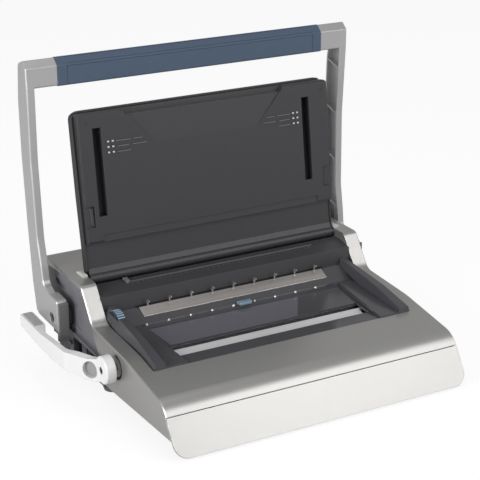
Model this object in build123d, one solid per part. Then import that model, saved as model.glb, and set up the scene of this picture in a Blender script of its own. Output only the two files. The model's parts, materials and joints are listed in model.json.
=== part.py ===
from build123d import *
from math import atan2, cos, degrees, hypot, pi, radians, sin, tan
import os

os.makedirs("parts", exist_ok=True)

# A manual wire binding machine: a punch with a U-shaped handle, a folding cover that
# backs the paper, nine wire hooks and a wire closer worked by a side lever.
# Millimetres. X runs to the right, Y to the back and Z up from the table.
# The parts are drawn round the plane midway between the sides. They are written with
# the origin on the table, under the middle of the whole machine.

skin = 2.5                        # moulded wall
gap = 0.3                         # between neighbouring parts

# Widths, worked out from the cover outwards
cover_half_width = 200.0
hump_inner = cover_half_width + 1.2       # inner faces of the two side humps
hump_width = 22.8
body_half_width = hump_inner + hump_width
base_half_width = body_half_width - 19.0
wing_half_width = body_half_width - 5.0   # the base is wider behind the silver side wall
rear_half_width = base_half_width - 15.0
frame_inner = cover_half_width - 29.0
frame_thickness = 2.5

# Body
face_foot = (-215.0, 3.0)         # lower edge of the front face (y, z)
seam = (-187.0, 50.5)             # joint between drawer front and housing
crease_y = -178.4                 # where the front face turns into the top
deck_mid = (-70.0, 85.0)
hump_foot = (29.0, 93.6)
hump_top = (62.5, 142.0)
rear_rise = (140.0, 144.0)
back_top = (197.0, 150.0)
back_foot = (176.0, 45.0)
side_bottom = 23.0
crease_radius = 34.0
side_edge = 1.4                   # chamfer along the top of the side walls
well_front = -108.8               # opening in the housing for the deck
well_rear = 107.0
well_wall_foot = 64.0

# Base
base_front = -185.5
base_rear = 160.0
base_bottom = 4.0
base_floor = 2.5
base_top = 45.0
foot_radius = 13.0
foot_places = [(base_half_width - 40.0, -165.0), (wing_half_width - 21.0, 24.0),
               (base_half_width - 25.0, 138.0)]
wing_front = 8.0
wing_rear = 157.0
wing_bottom = 14.0
wing_top = 54.0

# Paper throat: the sheets lean back against the cover
lean = 8.8                        # degrees from upright
throat_y = 72.0
throat_z = 130.0
throat_slot = 3.4
wire_pitch = 25.4 / 3
hole_count = 34
sheet_margin = 18.1               # beyond the punched row, both ends together
throat_length = hole_count * wire_pitch + sheet_margin
throat_front = 44.0
throat_lip = 47.0
throat_lip_z = 125.0
throat_rear = 84.0
valley_rear = 106.7
valley_floor = 125.0
throat_skin = 3.0
throat_end = hump_inner - gap

# Punch: one square pin for each hole at the 3:1 wire pitch
pin_size = 4.0
pin_clearance = 0.1
pin_depth = 22.0                  # hole centre below the throat mouth
pin_length = 22.0
pin_recess = 1.5                  # tip behind the slot at rest
plate_thickness = 4.0
plate_half_length = throat_length / 2 - 2.0
plate_low = 33.0
plate_high = 9.0
bar_thickness = 10.0
bar_height = 16.0
bar_half_length = frame_inner + frame_thickness + 2.5
rack_width = 8.0
rack_outer = frame_inner - 5.0
rack_inner = rack_outer - rack_width

# Handle
pivot_y = 109.0
pivot_z = 85.3
handle_swing = 90.0
shaft_radius = 6.0
running_fit = 0.05
bush_radius = 8.0
pinion_teeth = 18
tooth_module = 1.0
foot_inner = body_half_width + 10.5       # the arm is thicker round the pivot
arm_inner_low = foot_inner + 3.0
arm_inner_high = foot_inner + 9.5
arm_outer_low = foot_inner + 13.5         # outer faces lean out towards the bar
arm_outer_high = foot_inner + 20.9
arm_skin = 2.5
arm_web = 2.0
web_first = 151.0                 # slanting webs in the hollow arms
web_spacing = 71.0
grip_half_length = body_half_width - 15.0
core_reach = grip_half_length + 31.0
bar_front = 143.3
bar_rear = 170.0
bar_high = 438.0
bar_low = bar_high - 37.5
bar_face = bar_high - 9.5         # upper edge of the upright front
bar_slope_rear = 154.0
hub_radius = 17.0
hub_inner = body_half_width + 0.4
hub_rib_count = 16

# Cover
hinge_y = 93.0
hinge_z = 137.0
cover_swing = 106.0
cover_length = 232.0
cover_shell_skin = 2.5
cover_back = 10.0                 # shell behind the hinge plane
cover_rim = 2.0                   # rim in front of the hinge plane
cover_step = 50.0                 # below this the panel is thin, to lie on the throat
panel_thin = 0.6
panel_low_depth = 11.5
panel_high_depth = 18.0
barrel_radius = 7.5
hinge_pin_radius = 3.0
cover_corner = 12.0
panel_corner = 4.0
recess_left = 66.0 - cover_half_width
recess_right = cover_half_width - 73.0
recess_depth = 2.5
recess_drop = 52.0
recess_lip = 9.0
gauge_low = 86.0                  # slots for the sheet gauges beside the paper
gauge_high = 208.0
gauge_width = 12.6
gauge_left_inset = 22.2           # outer edge of each slot from the cover's side
gauge_right_inset = 34.0

# Deck between the humps
deck_skin = 3.0
strip_front = (-108.4, 77.8)
strip_rear = (-80.0, 77.0)
channel_rear = (-48.0, 79.5)
deck_step = (6.0, 84.6)
step_top = 89.0
shelf_rear = 14.0
ramp_top = (41.0, 103.0)
deck_half_width = hump_inner - 1.2        # a dark gap shows beside the humps
deck_wing_inner = hump_inner - 19.2
ledge_inner = deck_wing_inner - 27.0      # low ledges beside the wings
deck_wing_heights = [(-108.4, 85.2), (-50.0, 99.0), (43.7, 112.0)]

# Wire hooks and the sliding catch strip
hook_count = 9
hook_pitch = 4 * wire_pitch
hook_y = 38.5
hook_rise = 9.5
hook_width = 2.0
hook_rail_half_length = (hook_count - 1) / 2 * hook_pitch + 12.5
catch_travel = wire_pitch

# Wire closer
lever_y = -44.0
lever_z = 64.0
lever_swing = 95.0
closer_shaft_radius = 4.0
closer_travel = 7.0
closer_bar_half_length = frame_inner - 22.5
channel_half_length = closer_bar_half_length + 2.5
closer_web_front = -58.5
closer_web_rear = -56.0
closer_low = 58.0
closer_high = 75.0
closer_flange_front = -76.0
closer_flange_drop = 4.8
guide_low = 46.0                  # tongues of the closer bar in the frames
guide_high = 51.0
guide_reach = frame_inner + frame_thickness + 2.5
cam_radius = 6.5
cam_width = 4.0
cam_outer = frame_inner - 10.0
cam_inner = cam_outer - cam_width
lever_hub_radius = 19.0
lever_hub_inner = body_half_width + 8.0
lever_hub_outer = body_half_width + 22.0
lever_outer = body_half_width + 48.0
lever_inner = lever_outer - 8.0
lever_paddle = lever_outer - 18.0         # inner side of the wide tip
lever_slot_inner = 13.0           # curved recess round the lever's shaft
lever_slot_outer = 17.5
lever_tip_y = 170.5
dish_radius = 12.0
dish_depth = 5.5

# Wire size wheel
wheel_y = 23.5
wheel_z = 93.3
wheel_radius = 20.0
wheel_width = 10.0
wheel_x = -deck_wing_inner - 7.0
wheel_swing = 90.0
wheel_axle_radius = 3.0

# Waste drawer
drawer_half_width = frame_inner - 6.0
drawer_bottom = 8.0
drawer_top = 40.0
drawer_rear = 72.0
drawer_skin = 2.0
drawer_travel = 150.0
face_corner = 20.0


def block(x0, x1, y0, y1, z0, z1):
    """A box between two corners."""
    centre = Pos((x0 + x1) / 2, (y0 + y1) / 2, (z0 + z1) / 2)
    return centre * Box(x1 - x0, y1 - y0, z1 - z0)


def outline(points, radius=0):
    """A closed face with filleted corners."""
    if not radius:
        return make_face(Polyline(points, close=True))
    return make_face(FilletPolyline(points, radius=radius, close=True))


def prism(points, x0, x1, radius=0):
    """A side outline (y, z) carried across from x0 to x1."""
    return extrude(Plane.YZ.offset(x0) * outline(points, radius), amount=x1 - x0)


def rod(y, z, radius, x0, x1):
    """A round bar along X."""
    return extrude(Plane.YZ.offset(x0) * Pos(y, z) * Circle(radius), amount=x1 - x0)


def both_sides(shape):
    """The shape and its mirror image in the middle plane."""
    return [shape, mirror(shape, about=Plane.YZ)]


def fuse(shapes):
    """One solid of several that overlap or share faces."""
    shapes = list(shapes)
    return shapes[0].fuse(*shapes[1:]) if len(shapes) > 1 else shapes[0]


machine = {}                      # the solids of every named part


def add(name, *shapes):
    """Keep one named part, which may be several separate solids."""
    machine[name] = [solid for shape in shapes for solid in shape.solids()]


def write_machine():
    """Write every part, with the origin under the middle of the whole machine."""
    boxes = [solid.bounding_box() for solids in machine.values() for solid in solids]
    middle_x = (min(box.min.X for box in boxes) + max(box.max.X for box in boxes)) / 2
    middle_y = (min(box.min.Y for box in boxes) + max(box.max.Y for box in boxes)) / 2
    move = Pos(-round(middle_x, 1), -round(middle_y, 1), 0)
    for name, solids in machine.items():
        placed = [move * solid for solid in solids]
        body = placed[0] if len(placed) == 1 else Compound(children=placed)
        body.label = name
        export_step(body, f"parts/{name}.step")


def in_throat(shape):
    """Place a shape drawn with the paper upright and the throat mouth at zero."""
    return Pos(0, throat_y, throat_z) * Rot(-lean, 0, 0) * shape


def in_cover(shape):
    """Place a shape drawn with the open cover upright and its hinge at zero."""
    return Pos(0, hinge_y, hinge_z) * Rot(-lean, 0, 0) * shape


# Housing

face_slope = (seam[1] - face_foot[1]) / (seam[0] - face_foot[0])
crease = (crease_y, seam[1] + face_slope * (crease_y - seam[0]))
front_bottom = (seam[0] - (seam[1] - side_bottom) / face_slope, side_bottom)
housing_outline = [front_bottom, crease, deck_mid, hump_foot, hump_top, rear_rise,
                   back_top, back_foot, (back_foot[0], side_bottom)]
housing_radii = [0, crease_radius, 160, 20, 9, 80, 13, 0, 0]
side_opening = [(62.8, 136.5), (58.5, 115.0), (36.5, 98.5), (9.5, 58.6),
                (-6.0, side_bottom - 1), (back_foot[0] + 1, side_bottom - 1),
                (back_foot[0] + 1, 60.0), (188.0, 137.0), (140.0, 138.5)]


def housing_band(x0, x1, y0, y1, z0):
    """The part of the housing outline inside a box open at the top."""
    return prism(housing_outline, x0, x1, housing_radii) & block(x0, x1, y0, y1, z0, 200)


def housing_blank():
    """The housing before it is hollowed."""
    return prism(housing_outline, -body_half_width, body_half_width, housing_radii)


def make_top_housing():
    """The silver shell: front crease, top, side walls, humps and back."""
    shell = housing_blank()
    inside = offset(outline(housing_outline, housing_radii), amount=-skin)
    hollow = body_half_width - skin
    shell = chamfer(side_top_edges(shell), side_edge)
    shell -= extrude(Plane.YZ.offset(-hollow) * inside, amount=2 * hollow)
    shell -= block(-hollow, hollow, seam[0] - 20, back_foot[0] - skin, side_bottom - 1, 30)
    # the drawer front closes the face below the seam
    shell -= block(-hollow, hollow, -230, seam[0] + 12, side_bottom - 1, seam[1])
    shell -= prism([(front_bottom[0] - 5, side_bottom - 1), (seam[0] - 5, seam[1]),
                    (seam[0] + 3.2, seam[1]), (front_bottom[0] + 2.6, side_bottom - 1)],
                   -body_half_width - 1, body_half_width + 1)
    shell -= block(-hump_inner, hump_inner, well_front, well_rear, side_bottom, 200)
    for x0, x1 in ((-hump_inner - skin, -hump_inner), (hump_inner, hump_inner + skin)):
        shell += housing_band(x0, x1, well_front - skin, well_rear + skin, well_wall_foot)
    for y0 in (well_front - skin, well_rear):
        shell += housing_band(-hump_inner - skin, hump_inner + skin, y0, y0 + skin,
                              well_wall_foot if y0 < 0 else 104)
    for side in (-1, 1):
        x0, x1 = sorted((side * (hollow - 1), side * (body_half_width + 1)))
        shell -= prism(side_opening, x0, x1)
        x0, x1 = sorted((side * (hump_inner - 5), side * (hump_inner + 9)))
        shell -= rod(hinge_y, hinge_z, hinge_pin_radius, x0, x1)
        shell -= rod(pivot_y, pivot_z, shaft_radius + 1.5, x0, x1)
    shell -= rod(lever_y, lever_z, closer_shaft_radius + 1.0, -body_half_width - 1,
                 -hump_inner + 5)
    shell -= lever_recess()
    shell -= block(-hollow, hollow, back_foot[0] - 8, back_foot[0] + 8, side_bottom - 1,
                   back_foot[1] + 4)
    return shell


def lever_recess():
    """Shallow curved recess in the left wall, round the front of the lever's shaft."""
    x0, x1 = -body_half_width - 1, -body_half_width + 1.2
    ring = rod(lever_y, lever_z, lever_slot_outer, x0, x1)
    ring -= rod(lever_y, lever_z, lever_slot_inner, x0 - 1, x1 + 1)
    return ring & block(x0, x1, lever_y - lever_slot_outer - 1, lever_y + 3,
                        lever_z - lever_slot_outer - 1, lever_z + lever_slot_outer + 1)


def side_top_edges(shell):
    """The long edges between the top surfaces and the side faces."""
    edges = shell.edges().filter_by(
        lambda e: abs(abs(e.center().X) - body_half_width) < 0.01)
    return edges.filter_by(
        lambda e: e.center().Z > side_bottom + 5 and e.center().Y < back_foot[0] + 2
        and not (e.center().Y > back_foot[0] - 1 and e.center().Z < back_foot[1]))


def make_side_cover(side):
    """Dark panel behind the edge of the side wall, with its ledge along the foot."""
    outer = body_half_width - 1.0
    front = [(63.0 + gap, 135.9), (58.5 + gap, 115.0), (36.5 + gap, 98.5), (9.5 + gap, 58.6)]
    points = front + [(9.0, 56.5), (100.0, 64.0), (back_foot[0] - 3, 70.0), (186.5, 136.0),
                      (140.0, 137.5)]
    panel = prism(points, outer - skin, outer)
    ledge = prism([(9.0, 56.5), (100.0, 64.0), (back_foot[0] - 3, 70.0),
                   (back_foot[0] - 3, 72.8), (100.0, 66.8), (11.0, 60.0)], outer - 0.5, outer + 4)
    panel = fuse([panel, ledge])
    panel -= rod(pivot_y, pivot_z, shaft_radius + 1.5, outer - 10, outer + 10)
    # raised rim along the front edge, a cooling slot and a shallow pocket
    rim = prism([(58.5 + gap, 115.0), (36.5 + gap, 98.5), (9.5 + gap, 58.6), (12.8, 60.0),
                 (39.0, 96.8), (61.5, 113.0)], outer - 0.5, outer + 0.9)
    panel = fuse([panel, rim])
    panel -= prism([(118, 116), (146, 119), (152, 127), (122, 128)], outer - 1.6, outer + 1, 2)
    panel -= prism([(66, 74), (84, 75), (84, 108), (74, 112), (66, 104)], outer - 1.2,
                   outer + 1, 3)
    return panel if side > 0 else mirror(panel, about=Plane.YZ)


def make_rear_cover():
    """Lower back panel between the housing and the base."""
    half = rear_half_width
    panel = block(-half, half, base_rear - skin, base_rear, base_bottom + base_floor, base_top)
    top = prism([(base_rear - skin, base_top), (base_rear, base_top),
                 (back_foot[0] - skin - gap, back_foot[1] + 3), (back_foot[0] - skin - gap, 58.0),
                 (back_foot[0] - 2 * skin - gap, 58.0), (back_foot[0] - 2 * skin - gap, 49.0)],
                -half, half)
    panel = fuse([panel, top])
    for i in range(-6, 7):
        panel -= block(i * 26 - 9, i * 26 + 9, base_rear - 5, base_rear + 5, 16, 20)
        panel -= block(i * 26 - 9, i * 26 + 9, base_rear - 5, base_rear + 5, 26, 30)
    return panel


# Base

def make_base_pan():
    """Black tray that carries the frames, with open front for the drawer."""
    pan = block(-base_half_width, base_half_width, base_front, base_rear - skin - gap,
                base_bottom, base_top)
    pan -= block(-base_half_width + skin, base_half_width - skin, base_front - 1,
                 base_rear, base_bottom + base_floor, base_top + 1)
    flange = body_half_width - skin - gap
    for side in (-1, 1):
        x0, x1 = sorted((side * base_half_width, side * flange))
        pan += block(x0, x1, base_front, wing_front, base_top - 3, base_top)
        pan += base_wing(side)
        for x, y in foot_places:
            pan += Pos(side * x, y, base_bottom) * extrude(Circle(foot_radius + 1.5),
                                                           amount=base_floor)
        rail = drawer_half_width - 6
        x0, x1 = sorted((side * rail, side * (rail - 3)))
        pan += block(x0, x1, base_front + 4, drawer_rear, base_bottom + base_floor - 0.5,
                     drawer_bottom - gap)
    return pan


def base_wing(side):
    """Wider rear half of the base with two openings, louvres and a rail."""
    inner, outer = base_half_width - 0.01, wing_half_width
    wing = block(inner, outer, wing_front, wing_rear, wing_bottom, wing_top)
    wing -= block(inner - 1, outer - skin, wing_front + skin, wing_rear - skin,
                  wing_bottom + skin, wing_top + 1)
    wing += block(outer - 0.01, outer + 3.5, 110, wing_rear + 12, base_top - 7, base_top - 3)
    wing += block(inner, outer, wing_rear - 1, wing_rear + 12, base_top - 7, base_top - 3)
    for y0, y1 in ((33, 63), (78, 107)):
        wing -= block(outer - skin - 1, outer + 1, y0, y1, 29, 50)
    for i in range(6):
        y = 121 + i * 5.4
        wing -= block(outer - skin - 1, outer + 1, y, y + 2.6, 19, 34)
    return wing if side > 0 else mirror(wing, about=Plane.YZ)


def make_rubber_feet():
    """Six feet, one pair under the front, the handle and the back."""
    feet = []
    for side in (-1, 1):
        for x, y in foot_places:
            feet.append(Pos(side * x, y, 0) * extrude(Circle(foot_radius), amount=base_bottom))
    return feet


# Frames, bushes and tie rod

def bar_back():
    """Rear face of the punch bar at rest, in the frame of the throat."""
    return pin_recess + throat_slot / 2 + pin_length + bar_thickness


def bar_levels():
    """Lower and upper face of the punch bar in the frame of the throat."""
    low = -pin_depth - 6.0
    return low, low + bar_height


def punch_window():
    """Slot in a frame plate that guides an end of the punch bar."""
    front = bar_back() - bar_thickness - pinion_travel() - gap
    low, high = bar_levels()
    return in_throat(block(frame_inner - 1, frame_inner + frame_thickness + 1, front,
                           bar_back() + gap, low - running_fit, high + running_fit))


def make_frame_plate(side):
    """Pressed steel side frame with the punch bar window and bush holes."""
    floor = base_bottom + base_floor
    points = [(-72.0, floor), (-72.0, 58.0), (-66.0, 66.0), (-55.0, 72.5), (-34.0, 73.8),
              (-6.0, 75.0), (36.0, 86.0), (47.6, 92.0), (50.0, 117.0), (83.0, 122.0), (106.4, 117.5),
              (106.4, 101.5), (126.0, 98.5), (138.0, 60.0), (138.0, floor)]
    plate = prism(points, frame_inner, frame_inner + frame_thickness)
    plate -= punch_window()
    plate -= rod(pivot_y, pivot_z, bush_radius, frame_inner - 1, frame_inner + 5)
    plate -= rod(lever_y, lever_z, closer_shaft_radius + 2, frame_inner - 1, frame_inner + 5)
    # window that guides an end of the closer bar
    plate -= block(frame_inner - 1, frame_inner + 5, closer_web_front - gap,
                   closer_web_rear + closer_travel + gap, guide_low - running_fit,
                   guide_high + running_fit)
    plate -= prism([(0, 18), (60, 18), (60, 60), (24, 60)], frame_inner - 1, frame_inner + 5, 6)
    plate -= prism([(76, 18), (122, 18), (118, 62), (76, 62)], frame_inner - 1, frame_inner + 5, 6)
    for y0, y1 in ((-60, 4), (48, 118)):
        plate += block(frame_inner, frame_inner + 14, y0, y1, floor, floor + frame_thickness)
    return plate if side > 0 else mirror(plate, about=Plane.YZ)


def make_bush(y, z, bore, radius):
    """A plain bush pair in the two frames."""
    end = frame_inner + frame_thickness + 3
    bush = rod(y, z, radius, frame_inner, end)
    return both_sides(bush - rod(y, z, bore + running_fit, frame_inner - 1, end + 1))


def make_tie_rod():
    """Steel rod that holds the two frames apart."""
    return rod(20.0, 70.0, 4.0, -frame_inner, frame_inner)


# Throat, die and hooks

def make_throat_block():
    """Dark moulding with the paper slot, from hump to hump."""
    rise = (throat_z - throat_lip_z) / (throat_y - throat_lip)
    rear_z = throat_z + rise * (throat_rear - throat_y) - 1
    foot = ramp_top[1] - deck_skin
    outer = [(throat_front, foot), (throat_lip, throat_lip_z), (throat_y, throat_z),
             (throat_rear, rear_z), (throat_rear + 2, valley_floor), (valley_rear, valley_floor),
             (valley_rear, valley_floor - throat_skin)]
    inner = [(throat_rear - 1, valley_floor - throat_skin),
             (throat_rear - throat_skin, rear_z - throat_skin), (throat_y, throat_z - throat_skin),
             (throat_lip + throat_skin, throat_lip_z - 2.4), (throat_front + throat_skin, foot)]
    body = prism(outer + inner, -throat_end, throat_end)
    # slot with sloping lead-in edges
    mouth = throat_slot / 2
    body -= in_throat(block(-throat_length / 2, throat_length / 2, -mouth, mouth, -12, 6))
    cheek = extrude(Plane.YZ.offset(-throat_length / 2) * make_face(
        Polyline([(-mouth - 3.0, 4), (-mouth, -1.2), (mouth, -1.2), (mouth + 1.2, 4)],
                 close=True)), amount=throat_length)
    body -= in_throat(cheek)
    for i in range(hole_count + 1):
        x = (i - hole_count / 2) * wire_pitch
        body -= in_throat(block(x - 1.0, x + 1.0, -mouth - 4.4, -mouth, -1.0, 6))
    for side in (-1, 1):
        x0, x1 = sorted((side * (frame_inner + frame_thickness + gap), side * throat_end))
        body += prism([(throat_front + throat_skin, foot),
                       (throat_lip + throat_skin, throat_lip_z - 2.4),
                       (throat_y - 14, throat_z - 5.5), (throat_y - 22, foot)], x0, x1)
    return body


def slot_plate(front, rear):
    """A steel plate beside the slot with one square hole for each pin."""
    plate = block(-plate_half_length, plate_half_length, front, rear, -plate_low, -plate_high)
    side = pin_size + 2 * pin_clearance
    hole = Box(side, 20, side)
    return in_throat(plate - [Pos(x, 0, -pin_depth) * hole for x in pin_places()])


def pin_places():
    """Centres of the punched holes."""
    first = -(hole_count - 1) / 2 * wire_pitch
    return [first + i * wire_pitch for i in range(hole_count)]


def make_die_plate():
    """Die in front of the slot."""
    return slot_plate(-throat_slot / 2 - plate_thickness, -throat_slot / 2)


def make_pin_guide():
    """Guide plate behind the slot."""
    return slot_plate(throat_slot / 2, throat_slot / 2 + plate_thickness)


def make_paper_stop():
    """Strip between the plates that the sheets stand on."""
    return in_throat(block(-plate_half_length, plate_half_length, -throat_slot / 2,
                           throat_slot / 2, -plate_low, -pin_depth - 6.0))


def hook_places():
    """Centres of the wire hooks."""
    return [(i - (hook_count - 1) / 2) * hook_pitch for i in range(hook_count)]


def ramp_z(y):
    """Height of the sloping deck surface in front of the throat."""
    share = (y - shelf_rear) / (ramp_top[0] - shelf_rear)
    return step_top + share * (ramp_top[1] - step_top)


def make_wire_hooks():
    """Stamped steel strip with nine hooks bent up."""
    low_y = hook_y - 14.0
    rail = prism([(low_y, ramp_z(low_y)), (hook_y + 1.5, ramp_z(hook_y + 1.5)),
                  (hook_y + 1.5, ramp_z(hook_y + 1.5) + 1.2), (low_y, ramp_z(low_y) + 1.2)],
                 -hook_rail_half_length, hook_rail_half_length)
    top = ramp_z(hook_y) + 1.2 + hook_rise
    hooks = []
    for x in hook_places():
        stem = [(hook_y - 0.6, ramp_z(hook_y) + 1.0), (hook_y + 1.0, ramp_z(hook_y) + 1.0),
                (hook_y + 1.0, top), (hook_y - 5.0, top), (hook_y - 5.0, top - 1.6),
                (hook_y - 0.6, top - 1.6)]
        hooks.append(prism(stem, x - hook_width / 2, x + hook_width / 2))
    return rail.fuse(*hooks)


# Deck

def deck_line():
    """Upper line of the deck from the channel back to the throat."""
    return [channel_rear, deck_step, (deck_step[0] + 0.8, step_top), ramp_top]


def make_binding_deck():
    """Dark frame: front strip, deck, ramp and the two raised wings."""
    half = deck_half_width
    rear = (throat_front - gap, ramp_top[1])
    upper = [strip_front, strip_rear, channel_rear, deck_step,
             (deck_step[0] + 0.8, step_top), (shelf_rear, step_top), ramp_top, rear]
    lower = [(y, z - deck_skin) for y, z in reversed(upper)]
    deck = prism(upper + lower, -half, half)
    deck -= block(-channel_half_length, channel_half_length, strip_rear[0],
                  channel_rear[0], 60, 100)
    # narrow groove behind the hooks
    deck -= block(-hook_rail_half_length - 4, hook_rail_half_length + 4, hook_y + 1.7,
                  hook_y + 3.6, ramp_top[1] - 2.6, ramp_top[1] + 2)
    for side in (-1, 1):
        deck += make_deck_wing(side)
        deck += make_deck_ledge(side)
    # slot for the catch strip along the step
    left, right = catch_ends()
    deck -= block(left - 4, right + catch_travel + 4, deck_step[0] + 1.6, deck_step[0] + 4.0,
                  80, 100)
    # slot for the size wheel and its axle
    x0, x1 = wheel_x - wheel_width / 2 - 0.8, wheel_x + wheel_width / 2 + 0.8
    deck -= rod(wheel_y, wheel_z, wheel_radius + 0.8, x0, x1)
    # room for the bracket beside the wheel
    deck -= block(x0 - 5, x0 + 1, wheel_y - 4.3, wheel_y + 4.3, 70, wheel_z + 4.3)
    return deck


def deck_surface(y):
    """Height of the deck's upper surface at a place between front and throat."""
    line = [strip_front, strip_rear, channel_rear, deck_step, (shelf_rear, step_top), ramp_top,
            (throat_front, ramp_top[1])]
    for (y0, z0), (y1, z1) in zip(line, line[1:]):
        if y <= y1:
            return z0 + (z1 - z0) * (y - y0) / (y1 - y0)
    return line[-1][1]


def wing_section(y, ridge_z):
    """Cross-section (x, z) of the right wing: upright inside, leaning outside."""
    half = deck_half_width
    foot = deck_surface(y) - 2.0
    inner = deck_wing_inner
    ridge = half - 1.6 - 0.045 * (y - strip_front[0])
    points = [(inner, foot), (inner + 1.2, ridge_z - 1.0), (inner + 2.2, ridge_z),
              (ridge, ridge_z), (half, foot + 1.5), (half, foot)]
    return Plane(origin=(0, y, 0), x_dir=(1, 0, 0), z_dir=(0, -1, 0)) * make_face(
        Polyline(points, close=True))


def make_deck_wing(side):
    """A raised wing that tapers down to the front corner."""
    sections = [wing_section(y, z) for y, z in deck_wing_heights]
    wing = fuse(loft([a, b], ruled=True) for a, b in zip(sections, sections[1:]))
    return wing if side > 0 else mirror(wing, about=Plane.YZ)


def make_deck_ledge(side):
    """Low ledge between the deck and a wing, with a slanting inner edge."""
    front, rear = strip_front[0] + 0.01, deck_step[0] + 4
    plan = [(ledge_inner - 4, front), (deck_wing_inner + 2, front), (deck_wing_inner + 2, rear),
            (ledge_inner + 4, rear)]
    ledge = extrude(Plane.XY.offset(70) * outline(plan), amount=30)
    ledge &= prism([(front, strip_front[1] - 1), (rear, deck_step[1] - 2), (rear, step_top + 1),
                    (front, strip_front[1] + 2.2)], 0, hump_inner)
    return ledge if side > 0 else mirror(ledge, about=Plane.YZ)


def catch_ends():
    """Left and right end of the catch strip, past the outermost catches."""
    middle = hook_count / 2 * hook_pitch
    return -middle - 1.6, middle - hook_pitch / 2 + 0.5


def make_catch_strip():
    """Thin slide under the step with a stud for each hook."""
    y0 = deck_step[0] + 2.0
    left, right = catch_ends()
    strip = block(left, right, y0, y0 + 1.6, 84.0, step_top - 0.6)
    stud = extrude(RegularPolygon(0.9, 8), amount=3.2)
    studs = [Pos(x - hook_pitch / 2, y0 + 0.8, step_top - 1.0) * stud for x in hook_places()]
    return strip.fuse(*studs)


def make_slider_button():
    """Ribbed thumb piece on the catch strip."""
    y0 = deck_step[0]
    button = block(-10, 9, y0 - 4.0, y0 + 6.0, step_top + 1.6, step_top + 5.6)
    button = chamfer(button.edges().filter_by(Axis.X).group_by(Axis.Z)[-1], 1.5)
    for i in range(5):
        x = -7.6 + i * 3.5
        button -= block(x, x + 1.4, y0 - 5, y0 + 7, step_top + 4.6, step_top + 7)
    neck = block(-6, 6, y0 + 2.0, y0 + 3.6, step_top - 0.6, step_top + 1.6)
    return fuse([button, neck])


# Handle

def pinion_travel():
    """Punch stroke from the handle's swing."""
    return pinion_teeth * tooth_module / 2 * radians(handle_swing)


def arm_outline():
    """Side outline (y, z) of a handle arm from the bar down to the pivot."""
    rear = [(bar_slope_rear, bar_high), (bar_rear, bar_high - 6.0), (178.5, bar_high - 58.0),
            (180.5, 300.0), (177.0, 200.0), (172.0, 120.0), (165.0, 78.0)]
    foot = [(156.0, 73.0), (86.5, 68.5), (88.5, 115.5)]
    front = [(116.0, 117.5), (133.5, 126.0), (137.0, 152.0), (144.5, 190.0), (148.0, 300.0),
             (bar_front, bar_low), (bar_front, bar_face)]
    return rear + foot + front


arm_radii = [4, 5, 60, 60, 60, 20, 5, 4, 3, 5, 16, 12, 30, 60, 80, 20, 2]


def arm_slab(inner, outer):
    """Front view (x, z) of the space between two leaning lines, over the full depth."""
    low, high = 40.0, bar_high + 10
    points = [(inner[0], low), (outer[0], low), (outer[1], high), (inner[1], high)]
    face = make_face(Polyline(points, close=True))
    return extrude(Plane.XZ.offset(-230) * face, amount=200)


def make_handle_arm(side):
    """Open channel moulding with slanting webs, a corner piece and a pivot boss."""
    outer = (arm_outer_low, arm_outer_high)
    inner = (arm_inner_low, arm_inner_high)
    face = outline(arm_outline(), arm_radii)
    blank = extrude(Plane.YZ.offset(foot_inner) * face, amount=30)
    arm = blank & arm_slab(inner, outer)
    # the foot round the pivot is thicker
    foot = extrude(Plane.YZ.offset(foot_inner) * outline(
        [(86.5, 68.5), (88.5, 115.5), (116, 117.5), (150, 112), (150, 73)],
        [3, 5, 0, 20, 3]), amount=8)
    arm += foot
    rim = arm.faces().sort_by(Axis.X)[-1]
    arm = chamfer(rim.edges(), 1.5)
    inside = offset(outline(arm_outline(), arm_radii), amount=-arm_skin)
    cavity = extrude(Plane.YZ.offset(foot_inner - 1) * inside, amount=40)
    cavity &= arm_slab((foot_inner - 1, foot_inner - 1),
                       (arm_outer_low - arm_skin, arm_outer_high - arm_skin))
    across = (foot_inner - 5, arm_outer_high + 5)
    cavity -= block(*across, 80, 152, 60, 122)
    # slanting webs across the channel
    for i in range(4):
        z = web_first + i * web_spacing
        cavity -= prism([(130, z), (185, z + 17), (185, z + 17 + arm_web), (130, z + arm_web)],
                        *across)
    arm -= cavity
    # hollow behind the foot, round the pivot boss
    pocket = block(foot_inner - 1, arm_outer_low - arm_skin, 91, 146, 76, 112)
    arm -= pocket - rod(pivot_y, pivot_z, 15.0, foot_inner - 2, arm_outer_low)
    corner = bar_section(grip_half_length + gap, arm_outer_high - 4)
    arm += corner
    arm -= rod(pivot_y, pivot_z, 7.5, arm_outer_low - 4.5, arm_outer_low + 5)
    arm -= rod(pivot_y, pivot_z, shaft_radius, foot_inner - 1, arm_outer_low)
    arm -= core_section(grip_half_length - 1, core_reach)
    return arm if side > 0 else mirror(arm, about=Plane.YZ)


def bar_points(grow=0.0):
    """Cross-section (y, z) of the handle bar, with its top front edge slanting."""
    return [(bar_front - grow, bar_low - grow), (bar_front - grow, bar_face),
            (bar_slope_rear, bar_high + grow), (bar_rear + grow, bar_high - 6.0 + grow),
            (bar_rear + grow, bar_low - grow)]


def bar_section(x0, x1, grow=0.0):
    """A length of the bar with rounded edges."""
    return prism(bar_points(grow), x0, x1, [3, 1.5, 4, 5, 3])


def core_section(x0, x1):
    """The steel core inside the bar."""
    middle_y = (bar_front + bar_rear) / 2
    middle_z = (bar_low + bar_face) / 2 + 1
    return block(x0, x1, middle_y - 7, middle_y + 7, middle_z - 9, middle_z + 9)


def make_handle_core():
    """Square steel bar that joins the two arms."""
    return core_section(-core_reach, core_reach)


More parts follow.
